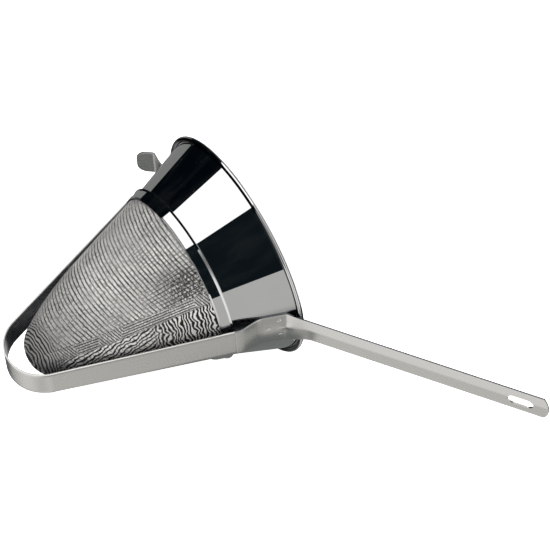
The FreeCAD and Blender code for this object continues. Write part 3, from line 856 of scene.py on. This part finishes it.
class BuildSupportWires(bpy.types.Operator):
    """Model the support cloth wire by wire: bowed hoop wires over straight ribs"""
    bl_idname = "strainer.support_wires"
    bl_label = "Support wires"

    def execute(self, context):
        shape = Shape()
        w = shape.cloth
        radius = w.wire_diameter / 2
        hoops_out = shape.support_out - radius
        ribs_out = shape.support_in + radius / 2
        hoops = self.hoop_runs(shape, self.by_slant(shape, hoops_out))
        ribs = self.rib_runs(shape, self.by_slant(shape, ribs_out))
        material = shared("support_wire_cloth", wire_cloth, "support_wire_cloth", shape, 1.0)
        for name, runs, nodes in (("hoop_wires", hoops, ("support_mesh",)), ("rib_wires", ribs, ())):
            piece = self.wires(name, runs, radius)
            finish(piece, [material], "wire_cloth", *nodes, sharp=60.0)
        return {"FINISHED"}

    @staticmethod
    def by_slant(shape, out):
        """Cloth line as (distance from the cone's apex, radius, height), from the tip up."""
        line = [(math.hypot(p.x, p.y - shape.apex), p.x, p.y) for p in shape.cloth_line(out, steps=40)]
        return sorted(line)

    @staticmethod
    def on_line(line, slant):
        for (a, ra, za), (b, rb, zb) in zip(line, line[1:]):
            if slant <= b:
                t = (slant - a) / (b - a)
                return ra + (rb - ra) * t, za + (zb - za) * t
        return line[-1][1:]

    def hoop_runs(self, shape, line):
        """Runs of points along wires of even bowed height, cut at the tip and at the ring."""
        w = shape.cloth
        low, high = line[0][0] + w.hoop_end_margin, line[-1][0]
        turns = int(2 * math.pi / w.hoop_step)
        runs = []
        for k in range(1, int(high / w.wire_pitch) + 1):
            height = (k + 0.5) * w.wire_pitch
            run = []
            for i in range(turns + 1):
                swing = -math.pi + i * w.hoop_step
                slant = height / (1 - w.bow * (1 - math.cos(swing)))
                if low < slant < high:
                    r, z = self.on_line(line, slant)
                    run.append(around(r, w.bow_turn + swing, z))
                else:
                    runs.append(run)
                    run = []
            runs.append(run)
        return [run for run in runs if len(run) > 2]

    def rib_runs(self, shape, line):
        """Straight wires down the cone; three of four stop halfway, where they crowd."""
        w = shape.cloth
        low, high = line[0][0] + w.rib_end_margin, line[-1][0]
        runs = []
        for k in range(2 * w.rib_count):
            turn = math.pi * k / w.rib_count
            end = low if k % 4 == 0 else (high + low) / 2
            run = []
            for slant in spread(high, end, steps=26):
                r, z = self.on_line(line, slant)
                run.append(around(r, turn, z))
            runs.append(run)
        return runs

    @staticmethod
    def wires(name, runs, radius):
        """One curve of many runs, given the wire's thickness and made a mesh."""
        deselect()
        curve = bpy.data.curves.new(name, "CURVE")
        curve.dimensions = "3D"
        curve.bevel_depth = radius
        curve.bevel_resolution = 0
        curve.use_fill_caps = True
        for run in runs:
            spline = curve.splines.new("POLY")
            spline.points.add(len(run) - 1)
            for point, place in zip(spline.points, run):
                point.co = (*place, 1.0)
        piece = bpy.data.objects.new(name, curve)
        bpy.context.scene.collection.objects.link(piece)
        piece.select_set(True)
        bpy.context.view_layer.objects.active = piece
        bpy.ops.object.convert(target="MESH")
        return named(name)


class BuildSeam(bpy.types.Operator):
    """Model the lap where the rolled cloth closes"""
    bl_idname = "strainer.seam"
    bl_label = "Cloth seam"

    def execute(self, context):
        shape = Shape()
        w = shape.cloth
        out = shape.support_out + w.nest_gap + w.seam_thickness
        line = BuildSupportWires.by_slant(shape, out)
        low = line[0][0] + w.seam_end_margin
        high = line[-1][0] - w.seam_top_margin
        half = w.seam_width / 2

        def place(along, across):
            r, z = BuildSupportWires.on_line(line, high + (low - high) * along)
            turn = w.seam_turn + math.asin(across * half / r)
            return around(r, turn, z), along * (high - low), across * half

        piece = sheet_strip("cloth_seam", place, w.seam_thickness, w.seam_edge_round, rows=60, columns=8)
        material = shared("support_wire_cloth", wire_cloth, "support_wire_cloth", shape, 1.0)
        finish(piece, [material], "wire_cloth", "mesh_seam")
        return {"FINISHED"}


def wrapped(y, radius, lean):
    """How far a strip wrapped on the flared collar falls away from its middle."""
    around = math.cos(2 * lean)
    return radius * math.cos(lean) / around * (1 - math.sqrt(1 - around * y * y / radius ** 2))


def folded(y, radius, angle):
    """How far a strip with a soft fold falls away on both sides of it."""
    side = abs(y)
    flat_from = radius * math.sin(angle)
    if side < flat_from:
        return radius - math.sqrt(radius ** 2 - side ** 2)
    return radius * (1 - math.cos(angle)) + (side - flat_from) * math.tan(angle)


def between(marks, distance, straight=False):
    """Values of marks (distance, *values) at a distance, eased between them or straight."""
    for (a, *low), (b, *high) in zip(marks, marks[1:]):
        if distance <= b:
            t = (distance - a) / (b - a)
            if not straight:
                t = eased(t)
            return [p + (q - p) * t for p, q in zip(low, high)]
    return marks[-1][1:]


def strip_rule(shape, path, marks, end_radius=0.0, end_sweep=None, turn=0.0, rise=None):
    """Rule that lays a flat grid along a path; marks give (distance, width, wrap, fold), eased between them.

    The end has round corners or a bowed edge, and a rise lifts the sheet locally.
    """
    s = shape.strips
    stretch = marks[-1][0]

    def place(along, across):
        distance = along * stretch
        width, wrap, fold = between(marks, distance)
        past = max(0.0, distance - (stretch - end_radius))
        inset = end_radius - math.sqrt(max(0.0, end_radius ** 2 - past ** 2))
        y = across * (width / 2 - inset)
        if end_sweep:
            sag = end_sweep - math.sqrt(end_sweep ** 2 - y ** 2)
            distance -= sag * eased((distance - stretch) / (2 * end_sweep) + 1)
        point, lean = path.at(distance)
        inwards = -ray(-lean)
        fall = wrap * wrapped(y, point.x, shape.flare)
        fall += fold * (s.fold_drop + folded(y - s.fold_shift, s.fold_radius, s.fold_angle))
        if rise:
            fall -= rise(distance, y)
        spot = point + inwards * fall
        laid = Matrix.Rotation(turn, 3, "Z") @ Vector((spot.x, -y, spot.y))
        return laid, distance, y

    return place


class BuildGuard(bpy.types.Operator):
    """Model the strap that guards the cone, from the handle round the tip to the hook"""
    bl_idname = "strainer.guard"
    bl_label = "Guard strap"

    def execute(self, context):
        shape = Shape()
        s = shape.strips
        path = GuardPath(shape)
        piece = sheet_strip("satin_guard", path.rule(shape), s.sheet, s.edge_round, rows=420, columns=8)
        brushed, inner_shade = strip_finishes()[:2]
        finish(piece, [brushed, inner_shade, brushed], "satin_steel", "guard_strap")
        return {"FINISHED"}


class GuardPath:
    """Route of the guard: down the near leg, round the loop and up the far leg, mirrored to the far side."""

    def __init__(self, shape):
        self.far = StripPath(shape.far_end, [shape.strips.joggle_radius] * 2)
        lean = shape.guard_lean
        self.lean = lean
        self.centre, self.radius = shape.loop_centre, shape.loop_radius
        self.loop_end = self.centre + ray(-lean) * self.radius
        self.joint = shape.far_end[0]
        self.near_leg = (self.joint - self.loop_end).length
        self.loop = self.radius * (math.pi - 2 * lean)
        self.far_from = 2 * self.near_leg + self.loop
        self.length = self.far_from + self.far.length

    def at(self, distance):
        """Point on the outer face and the direction into the sheet, in the plane of the axis."""
        if distance <= self.near_leg:
            point = self.joint.lerp(self.loop_end, distance / self.near_leg)
            return point, -ray(-self.lean)
        distance -= self.near_leg
        if distance <= self.loop:
            spoke = ray(-self.lean - distance / self.radius)
            return self.centre + spoke * self.radius, -spoke
        distance -= self.loop
        if distance <= self.near_leg:
            point = self.loop_end.lerp(self.joint, distance / self.near_leg)
            lean = self.lean
        else:
            point, lean = self.far.at(distance - self.near_leg)
        return Vector((-point.x, point.y)), ray(lean)

    def rule(self, shape):
        """Rule for a flat grid, which narrows down the near leg and wraps the collar at the far end."""
        s = shape.strips
        widths = [(0.0, s.guard_top_width), (self.near_leg, s.guard_width)]
        first, second = self.far.bends
        wraps = [(0.0, 0), (self.far_from + first[0], 0), (self.far_from + second[1], 1)]

        def place(along, across):
            distance = along * self.length
            width, = between(widths, distance, straight=True)
            wrap, = between(wraps, distance)
            y = across * width / 2
            point, inwards = self.at(distance)
            spot = point + inwards * (wrap * wrapped(y, abs(point.x), shape.flare) if wrap else 0.0)
            return Vector((spot.x, y, spot.y)), distance, y

        return place


class BuildHandle(bpy.types.Operator):
    """Model the handle: joggled tail, foot on the collar, folded grip and hanging slot"""
    bl_idname = "strainer.handle"
    bl_label = "Handle"

    def execute(self, context):
        shape = Shape()
        s = shape.strips
        bend = shape.wall(s.handle_bend_depth, shape.foot_out)
        corners = [*shape.joggle, bend, bend + ray(s.handle_angle) * s.handle_length]
        path = StripPath(corners, [s.joggle_radius, s.joggle_radius, s.handle_bend_radius])
        foot_end, grip_from = path.bends[2]
        marks = [
            (0.0, s.guard_top_width, 0, 0),
            (path.bends[1][1], s.foot_width, 1, 0),
            (foot_end, s.foot_width, 1, 0),
            (grip_from + s.fold_run, s.handle_width, 0, 1),
            (path.length, s.handle_width, 0, 1),
        ]

        def nose(distance, y):
            along = (distance - grip_from) / s.dart_length
            return s.dart_height * math.exp(-along ** 2 - ((y - s.fold_shift) / s.dart_width) ** 2)

        rule = strip_rule(shape, path, marks, end_sweep=s.handle_end_sweep, rise=nose)
        piece = sheet_strip("satin_handle", rule, s.sheet, s.edge_round, rows=300, columns=24)
        slot_at, lean = path.at(path.length - s.slot_end_margin - s.slot_length / 2)
        cut_slot(piece, slot_at, lean, s)
        finish(piece, strip_finishes(), "satin_steel", "handle")
        return {"FINISHED"}


def cut_slot(piece, middle, lean, s):
    """Cut a slot with round ends through a strip, with a block whose upright edges are rounded."""
    deselect()
    bpy.ops.mesh.primitive_cube_add(size=1, scale=(s.slot_length, s.slot_width, s.handle_width))
    bpy.ops.object.transform_apply(location=False, rotation=False, scale=True)
    cutter = named("slot_cutter")
    bpy.ops.object.mode_set(mode="EDIT")
    bpy.ops.mesh.select_mode(type="EDGE")
    mesh = bmesh.from_edit_mesh(cutter.data)
    for edge in mesh.edges:
        edge.select = abs(edge.verts[0].co.z - edge.verts[1].co.z) > s.handle_width / 2
    bmesh.update_edit_mesh(cutter.data)
    bpy.ops.mesh.bevel(offset=s.slot_width / 2 * 0.999, segments=12, affect="EDGES")
    bpy.ops.object.mode_set(mode="OBJECT")
    tilt = Matrix.Rotation(lean - math.pi / 2, 4, "Y")
    cutter.data.transform(Matrix.Translation((middle.x, 0, middle.y)) @ tilt)
    apply_modifier(piece, "BOOLEAN", operation="DIFFERENCE", object=cutter, solver="EXACT")
    bpy.data.objects.remove(cutter)


class BuildHook(bpy.types.Operator):
    """Model the pot hook on the far side of the collar"""
    bl_idname = "strainer.hook"
    bl_label = "Pot hook"

    def execute(self, context):
        shape = Shape()
        s = shape.strips
        out = 2 * shape.foot_out
        far = StripPath(shape.far_end, [s.joggle_radius] * 2)
        joggle_top = far.at(far.bends[1][1])[0].y
        bend = shape.wall(s.hook_bend_depth, out)
        shelf = bend + ray(s.hook_shelf_rise) * s.hook_shelf
        lip = shelf + ray(-s.hook_lip_drop) * s.hook_lip
        foot = shape.wall(-joggle_top - s.hook_foot_margin, out)
        path = StripPath([foot, bend, shelf, lip], [s.hook_bend_radius] * 2)
        foot_end, shelf_from = path.bends[0]
        marks = [
            (0.0, s.hook_width, 1, 0),
            (foot_end, s.hook_width, 1, 0),
            (shelf_from + s.hook_flatten_run, s.hook_width, 0, 0),
            (path.length, s.hook_width, 0, 0),
        ]
        rule = strip_rule(shape, path, marks, s.hook_end_radius, turn=math.pi)
        piece = sheet_strip("satin_hook", rule, s.sheet, s.edge_round, rows=120, columns=16)
        finish(piece, strip_finishes(), "satin_steel", "pot_hook")
        return {"FINISHED"}


class BuildWelds(bpy.types.Operator):
    """Model the spot welds as low dimpled buttons"""
    bl_idname = "strainer.welds"
    bl_label = "Spot welds"

    def execute(self, context):
        shape = Shape()
        s = shape.strips
        side, shift = s.weld_half_span, s.handle_weld_shift
        handle_spots = [
            (shift - side, s.handle_weld_depth),
            (shift + side, s.handle_weld_depth),
            (shift, s.handle_weld_depth + s.handle_weld_rise),
        ]
        hook_spots = [(-side, s.hook_weld_depth), (side, s.hook_weld_depth)]
        self.group("foot_spots", shape, handle_spots, shape.foot_out, 0.0, "handle_welds")
        self.group("hook_spots", shape, hook_spots, 2 * shape.foot_out, math.pi, "hook_welds")
        return {"FINISHED"}

    @staticmethod
    def button(s):
        """One button at the origin, with a rounded edge and a shallow dimple."""
        deselect()
        bpy.ops.mesh.primitive_cylinder_add(vertices=32, radius=s.weld_diameter / 2, depth=s.weld_height)
        piece = bpy.context.object
        bpy.ops.object.mode_set(mode="EDIT")
        bpy.ops.mesh.select_mode(type="FACE")
        mesh = bmesh.from_edit_mesh(piece.data)
        for face in mesh.faces:
            face.select = face.normal.z > 0.9
        bmesh.update_edit_mesh(piece.data)
        bpy.ops.mesh.inset(thickness=s.weld_diameter * 0.12)
        for drop in (0.9, 0.25):
            bpy.ops.mesh.inset(thickness=s.weld_diameter * 0.10)
            bpy.ops.transform.translate(value=(0, 0, -s.weld_height * drop))
        bpy.ops.object.mode_set(mode="OBJECT")
        apply_modifier(piece, "BEVEL", width=s.weld_height * 0.4, segments=2, limit_method="ANGLE")
        return piece

    def group(self, name, shape, spots, out, turn, node):
        s = shape.strips
        made = []
        for y, depth in spots:
            piece = self.button(s)
            radius = shape.flare_radius(-depth, out)
            angle = math.asin(y / radius)
            normal = Vector((math.cos(angle) * math.cos(shape.flare), math.sin(angle) * math.cos(shape.flare),
                             -math.sin(shape.flare)))
            seat = Vector((radius * math.cos(angle), y, -depth)) + normal * s.weld_height / 2
            place = Matrix.Translation(seat) @ normal.to_track_quat("Z", "Y").to_matrix().to_4x4()
            piece.data.transform(Matrix.Rotation(turn, 4, "Z") @ place)
            made.append(piece)
        deselect()
        for piece in made:
            piece.select_set(True)
        bpy.context.view_layer.objects.active = made[0]
        bpy.ops.object.join()
        piece = named(name)
        piece.data.uv_layers[0].name = "strip"
        finish(piece, [shared("mirror_steel", mirror_steel)], "satin_steel", node)


class BuildStage(bpy.types.Operator):
    """Set the floor, the studio light and the photograph's camera"""
    bl_idname = "strainer.stage"
    bl_label = "Stage"

    def execute(self, context):
        t = sizes("strainer_stage")
        self.floor(t)
        # Glowing dark cards under the strainer and under the hook: painted shadow, seen only in reflections.
        low = CAD_BOX[0]
        tip_end = (low[0] + t.card_left, low[1] + t.card_front)
        right = [(t.card_right, t.card_near), (t.card_right, t.card_far)]
        self.shade_card("foot_card", (tip_end, right[0], t.card_waist, right[1]), t.card_lift)
        near, far = t.hook_card - t.hook_card_half, t.hook_card + t.hook_card_half
        self.shade_card("hook_card", [(x, y) for y in (near.y, far.y) for x in (near.x, far.x)], t.card_lift)
        self.surroundings()
        self.lamp("key_light", place=(-1.1, -0.9, 1.5), size=1.2, power=26.0)
        self.lamp("top_light", place=(0.3, 0.5, 1.9), size=1.6, power=22.0)
        self.camera(t)
        context.scene.view_settings.view_transform = "Standard"
        return {"FINISHED"}

    @staticmethod
    def floor(t):
        deselect()
        bpy.ops.mesh.primitive_plane_add(size=t.floor_size)
        floor = named("floor")
        material, p = new_paint("pale_floor")
        mottle = p.noise(p.node("ShaderNodeTexCoord", out="Object"), 6.0, detail=3.0)
        tint = p.mix(mottle, rgba((0.90, 0.90, 0.90)), rgba((0.94, 0.94, 0.94)))
        glow = {"Emission Color": rgba((1, 1, 1)), "Emission Strength": 1.0}
        p.surface({"Base Color": tint, "Roughness": 0.9, **glow})
        floor.data.materials.append(material)
        floor.visible_glossy = False

    @staticmethod
    def shade_card(name, corners, lift):
        """Dark glowing card on the floor, which only reflections show: painted shadow under the strainer."""
        deselect()
        bpy.ops.mesh.primitive_plane_add(size=1)
        card = named(name)
        for vertex, corner in zip(card.data.vertices, corners):
            vertex.co = (*corner, lift)
        card.data.materials.append(shared("shadow_card", shadow_card))
        card.visible_camera = False
        card.visible_diffuse = False
        card.visible_shadow = False

    @staticmethod
    def surroundings():
        """Studio round the strainer: long cards along the cone's axis, and white where the camera looks."""
        world = bpy.data.worlds.new("studio")
        bpy.context.scene.world = world
        world.use_nodes = True
        p = Paint(world.node_tree)
        place = p.node("ShaderNodeTexCoord", out="Generated")
        turned_back = p.node("ShaderNodeMapping", {"vector_type": "TEXTURE"}, {
            "Vector": place, "Rotation": upright.turn.to_euler()})
        x, y, z = p.split(turned_back)
        turn = p.maths("ARCTAN2", y, x) / (2 * math.pi)
        share_of_turn = p.maths("FRACT", turn + 1.0)
        cards = None
        for start, soft, stops in studio_cards():
            card = p.node("ShaderNodeValToRGB", {"stops": stops}, {"Fac": z / 2 + 0.5})
            begun = p.ease(share_of_turn, (start - soft) / 360, (start + soft) / 360)
            cards = p.mix(begun, cards, card) if cards else card
        seen = p.node("ShaderNodeLightPath", out="Is Camera Ray")
        tint = p.mix(seen, cards, rgba((1, 1, 1)))
        backdrop = p.node("ShaderNodeBackground", {}, {"Color": tint, "Strength": 1.0})
        p.node("ShaderNodeOutputWorld", {}, {"Surface": backdrop})

    @staticmethod
    def lamp(name, place, size, power):
        data = bpy.data.lights.new(name, "AREA")
        data.size = size
        data.energy = power
        lamp = bpy.data.objects.new(name, data)
        lamp.location = place
        lamp.rotation_euler = (Vector((0, 0, 0.05)) - Vector(place)).to_track_quat("-Z", "Y").to_euler()
        lamp.visible_glossy = False
        lamp.visible_camera = False
        bpy.context.scene.collection.objects.link(lamp)

    @staticmethod
    def camera(t):
        data = bpy.data.cameras.new("photo_camera")
        data.sensor_width = t.sensor
        data.lens = t.lens
        camera = bpy.data.objects.new("photo_camera", data)
        ahead = math.cos(t.look_down)
        forward = Vector((
            math.sin(t.look_turn) * ahead, math.cos(t.look_turn) * ahead, -math.sin(t.look_down)))
        level = forward.cross(Vector((0, 0, 1))).normalized()
        up = level.cross(forward)
        right = level * math.cos(t.roll) + up * math.sin(t.roll)
        head = right.cross(forward)
        turn = Matrix((right, head, -forward)).transposed()
        camera.matrix_world = Matrix.Translation(t.eye) @ turn.to_4x4()
        bpy.context.scene.collection.objects.link(camera)
        bpy.context.scene.camera = camera


def studio_cards():
    """Studio round the cone's axis: (start in degrees, soft edge, tints from the tip's side to the mouth's).

    Each tint comes with a height from -1, straight towards the tip, to 1, straight out of the mouth.
    """
    def tints(*pairs, tip=None):
        """Steps of one card, with the plain light beyond the tip unless it has its own."""
        steps = [*(tip or ((-1.0, bright), (-0.66, bright))), *pairs, (1.0, pairs[-1][1])]
        return [((height + 1) / 2, tint) for height, tint in steps]

    bright, white, lamp = (0.92, 0.91, 0.90), (0.95, 0.95, 0.95), (1.35, 1.35, 1.35)
    floor, low_floor, back = (0.50, 0.50, 0.485), (0.37, 0.375, 0.36), (0.225, 0.23, 0.225)
    front, black, dim = (0.005, 0.0085, 0.011), (0.001, 0.0025, 0.004), (0.012, 0.013, 0.014)
    faint = (0.05, 0.05, 0.05)
    sharp = 0.1
    dark_tip = ((-1.0, black), (-0.66, black))
    lit_tip = ((-1.0, black), (-0.90, dim), (-0.87, white), (-0.70, white))
    lined_tip = (*lit_tip[:3], (-0.79, white), (-0.75, front))
    mouth = ((0.33, white), (0.37, dim), (0.78, dim), (0.84, white))
    low_mouth = ((0.29, dim), (0.70, dim), (0.78, white))
    open_floor = tints((-0.50, floor), (-0.10, floor), (0.0, white), *mouth, tip=lit_tip)
    return [
        (0, 0, open_floor),
        (31, 4, tints((-0.50, low_floor), (0.24, low_floor), *low_mouth)),
        (51, 4, tints(
            (-0.58, (0.86, 0.85, 0.835)), (-0.45, (0.48, 0.475, 0.46)), (-0.22, (0.88, 0.87, 0.85)),
            (-0.15, (0.58, 0.57, 0.55)), (-0.10, (0.49, 0.485, 0.47)), (-0.02, floor), (0.24, floor),
            *low_mouth)),
        (108, 3, tints((-0.45, floor), (-0.30, floor), (-0.26, black))),
        (126, 2, tints(
            (-0.50, black), (-0.06, black), (-0.03, back), (0.24, back), (0.27, black), tip=dark_tip)),
        (168, sharp, tints((-0.50, black), (0.36, black), (0.40, faint), (0.46, black), tip=dark_tip)),
        (224, sharp, tints(
            (-0.50, lamp), (0.35, lamp), (0.38, dim), (0.78, dim), (0.82, lamp), (0.95, lamp), (0.97, white),
            tip=((-1.0, black), (-0.54, black)))),
        (277, sharp, tints((-0.50, front), (-0.20, front), (-0.14, white), *mouth, tip=lined_tip)),
        (348, sharp, open_floor),
    ]


class StrainerPanel(bpy.types.Panel):
    """Buttons and sizes of the strainer"""
    bl_idname = "VIEW3D_PT_strainer"
    bl_label = "Chinois strainer"
    bl_space_type = "VIEW_3D"
    bl_region_type = "UI"
    bl_category = "Strainer"

    def draw(self, context):
        for operator in OPERATORS:
            self.layout.operator(operator.bl_idname)
        for group in GROUPS:
            box = self.layout.box()
            settings = getattr(context.scene, group)
            for name in settings.__annotations__:
                box.prop(settings, name)


GROUPS = {
    "strainer_collar": CollarSizes,
    "strainer_cloth": ClothSizes,
    "strainer_pattern": ClothPattern,
    "strainer_strips": StripSizes,
    "strainer_colours": FinishColours,
    "strainer_stage": StageSizes,
}
OPERATORS = (BuildStage, BuildCollar, BuildRing, BuildFineCloth, BuildSupportWires, BuildSeam, BuildGuard,
             BuildHandle, BuildHook, BuildWelds)


def register():
    for cls in (*GROUPS.values(), *OPERATORS, StrainerPanel):
        bpy.utils.register_class(cls)
    for name, cls in GROUPS.items():
        setattr(bpy.types.Scene, name, bpy.props.PointerProperty(type=cls))


def unregister():
    for name in GROUPS:
        delattr(bpy.types.Scene, name)
    for cls in (StrainerPanel, *reversed(OPERATORS), *GROUPS.values()):
        bpy.utils.unregister_class(cls)


def main():
    register()
    for operator in OPERATORS:
        group, name = operator.bl_idname.split(".")
        getattr(getattr(bpy.ops, group), name)()
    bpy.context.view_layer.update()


if __name__ == "__main__":
    main()
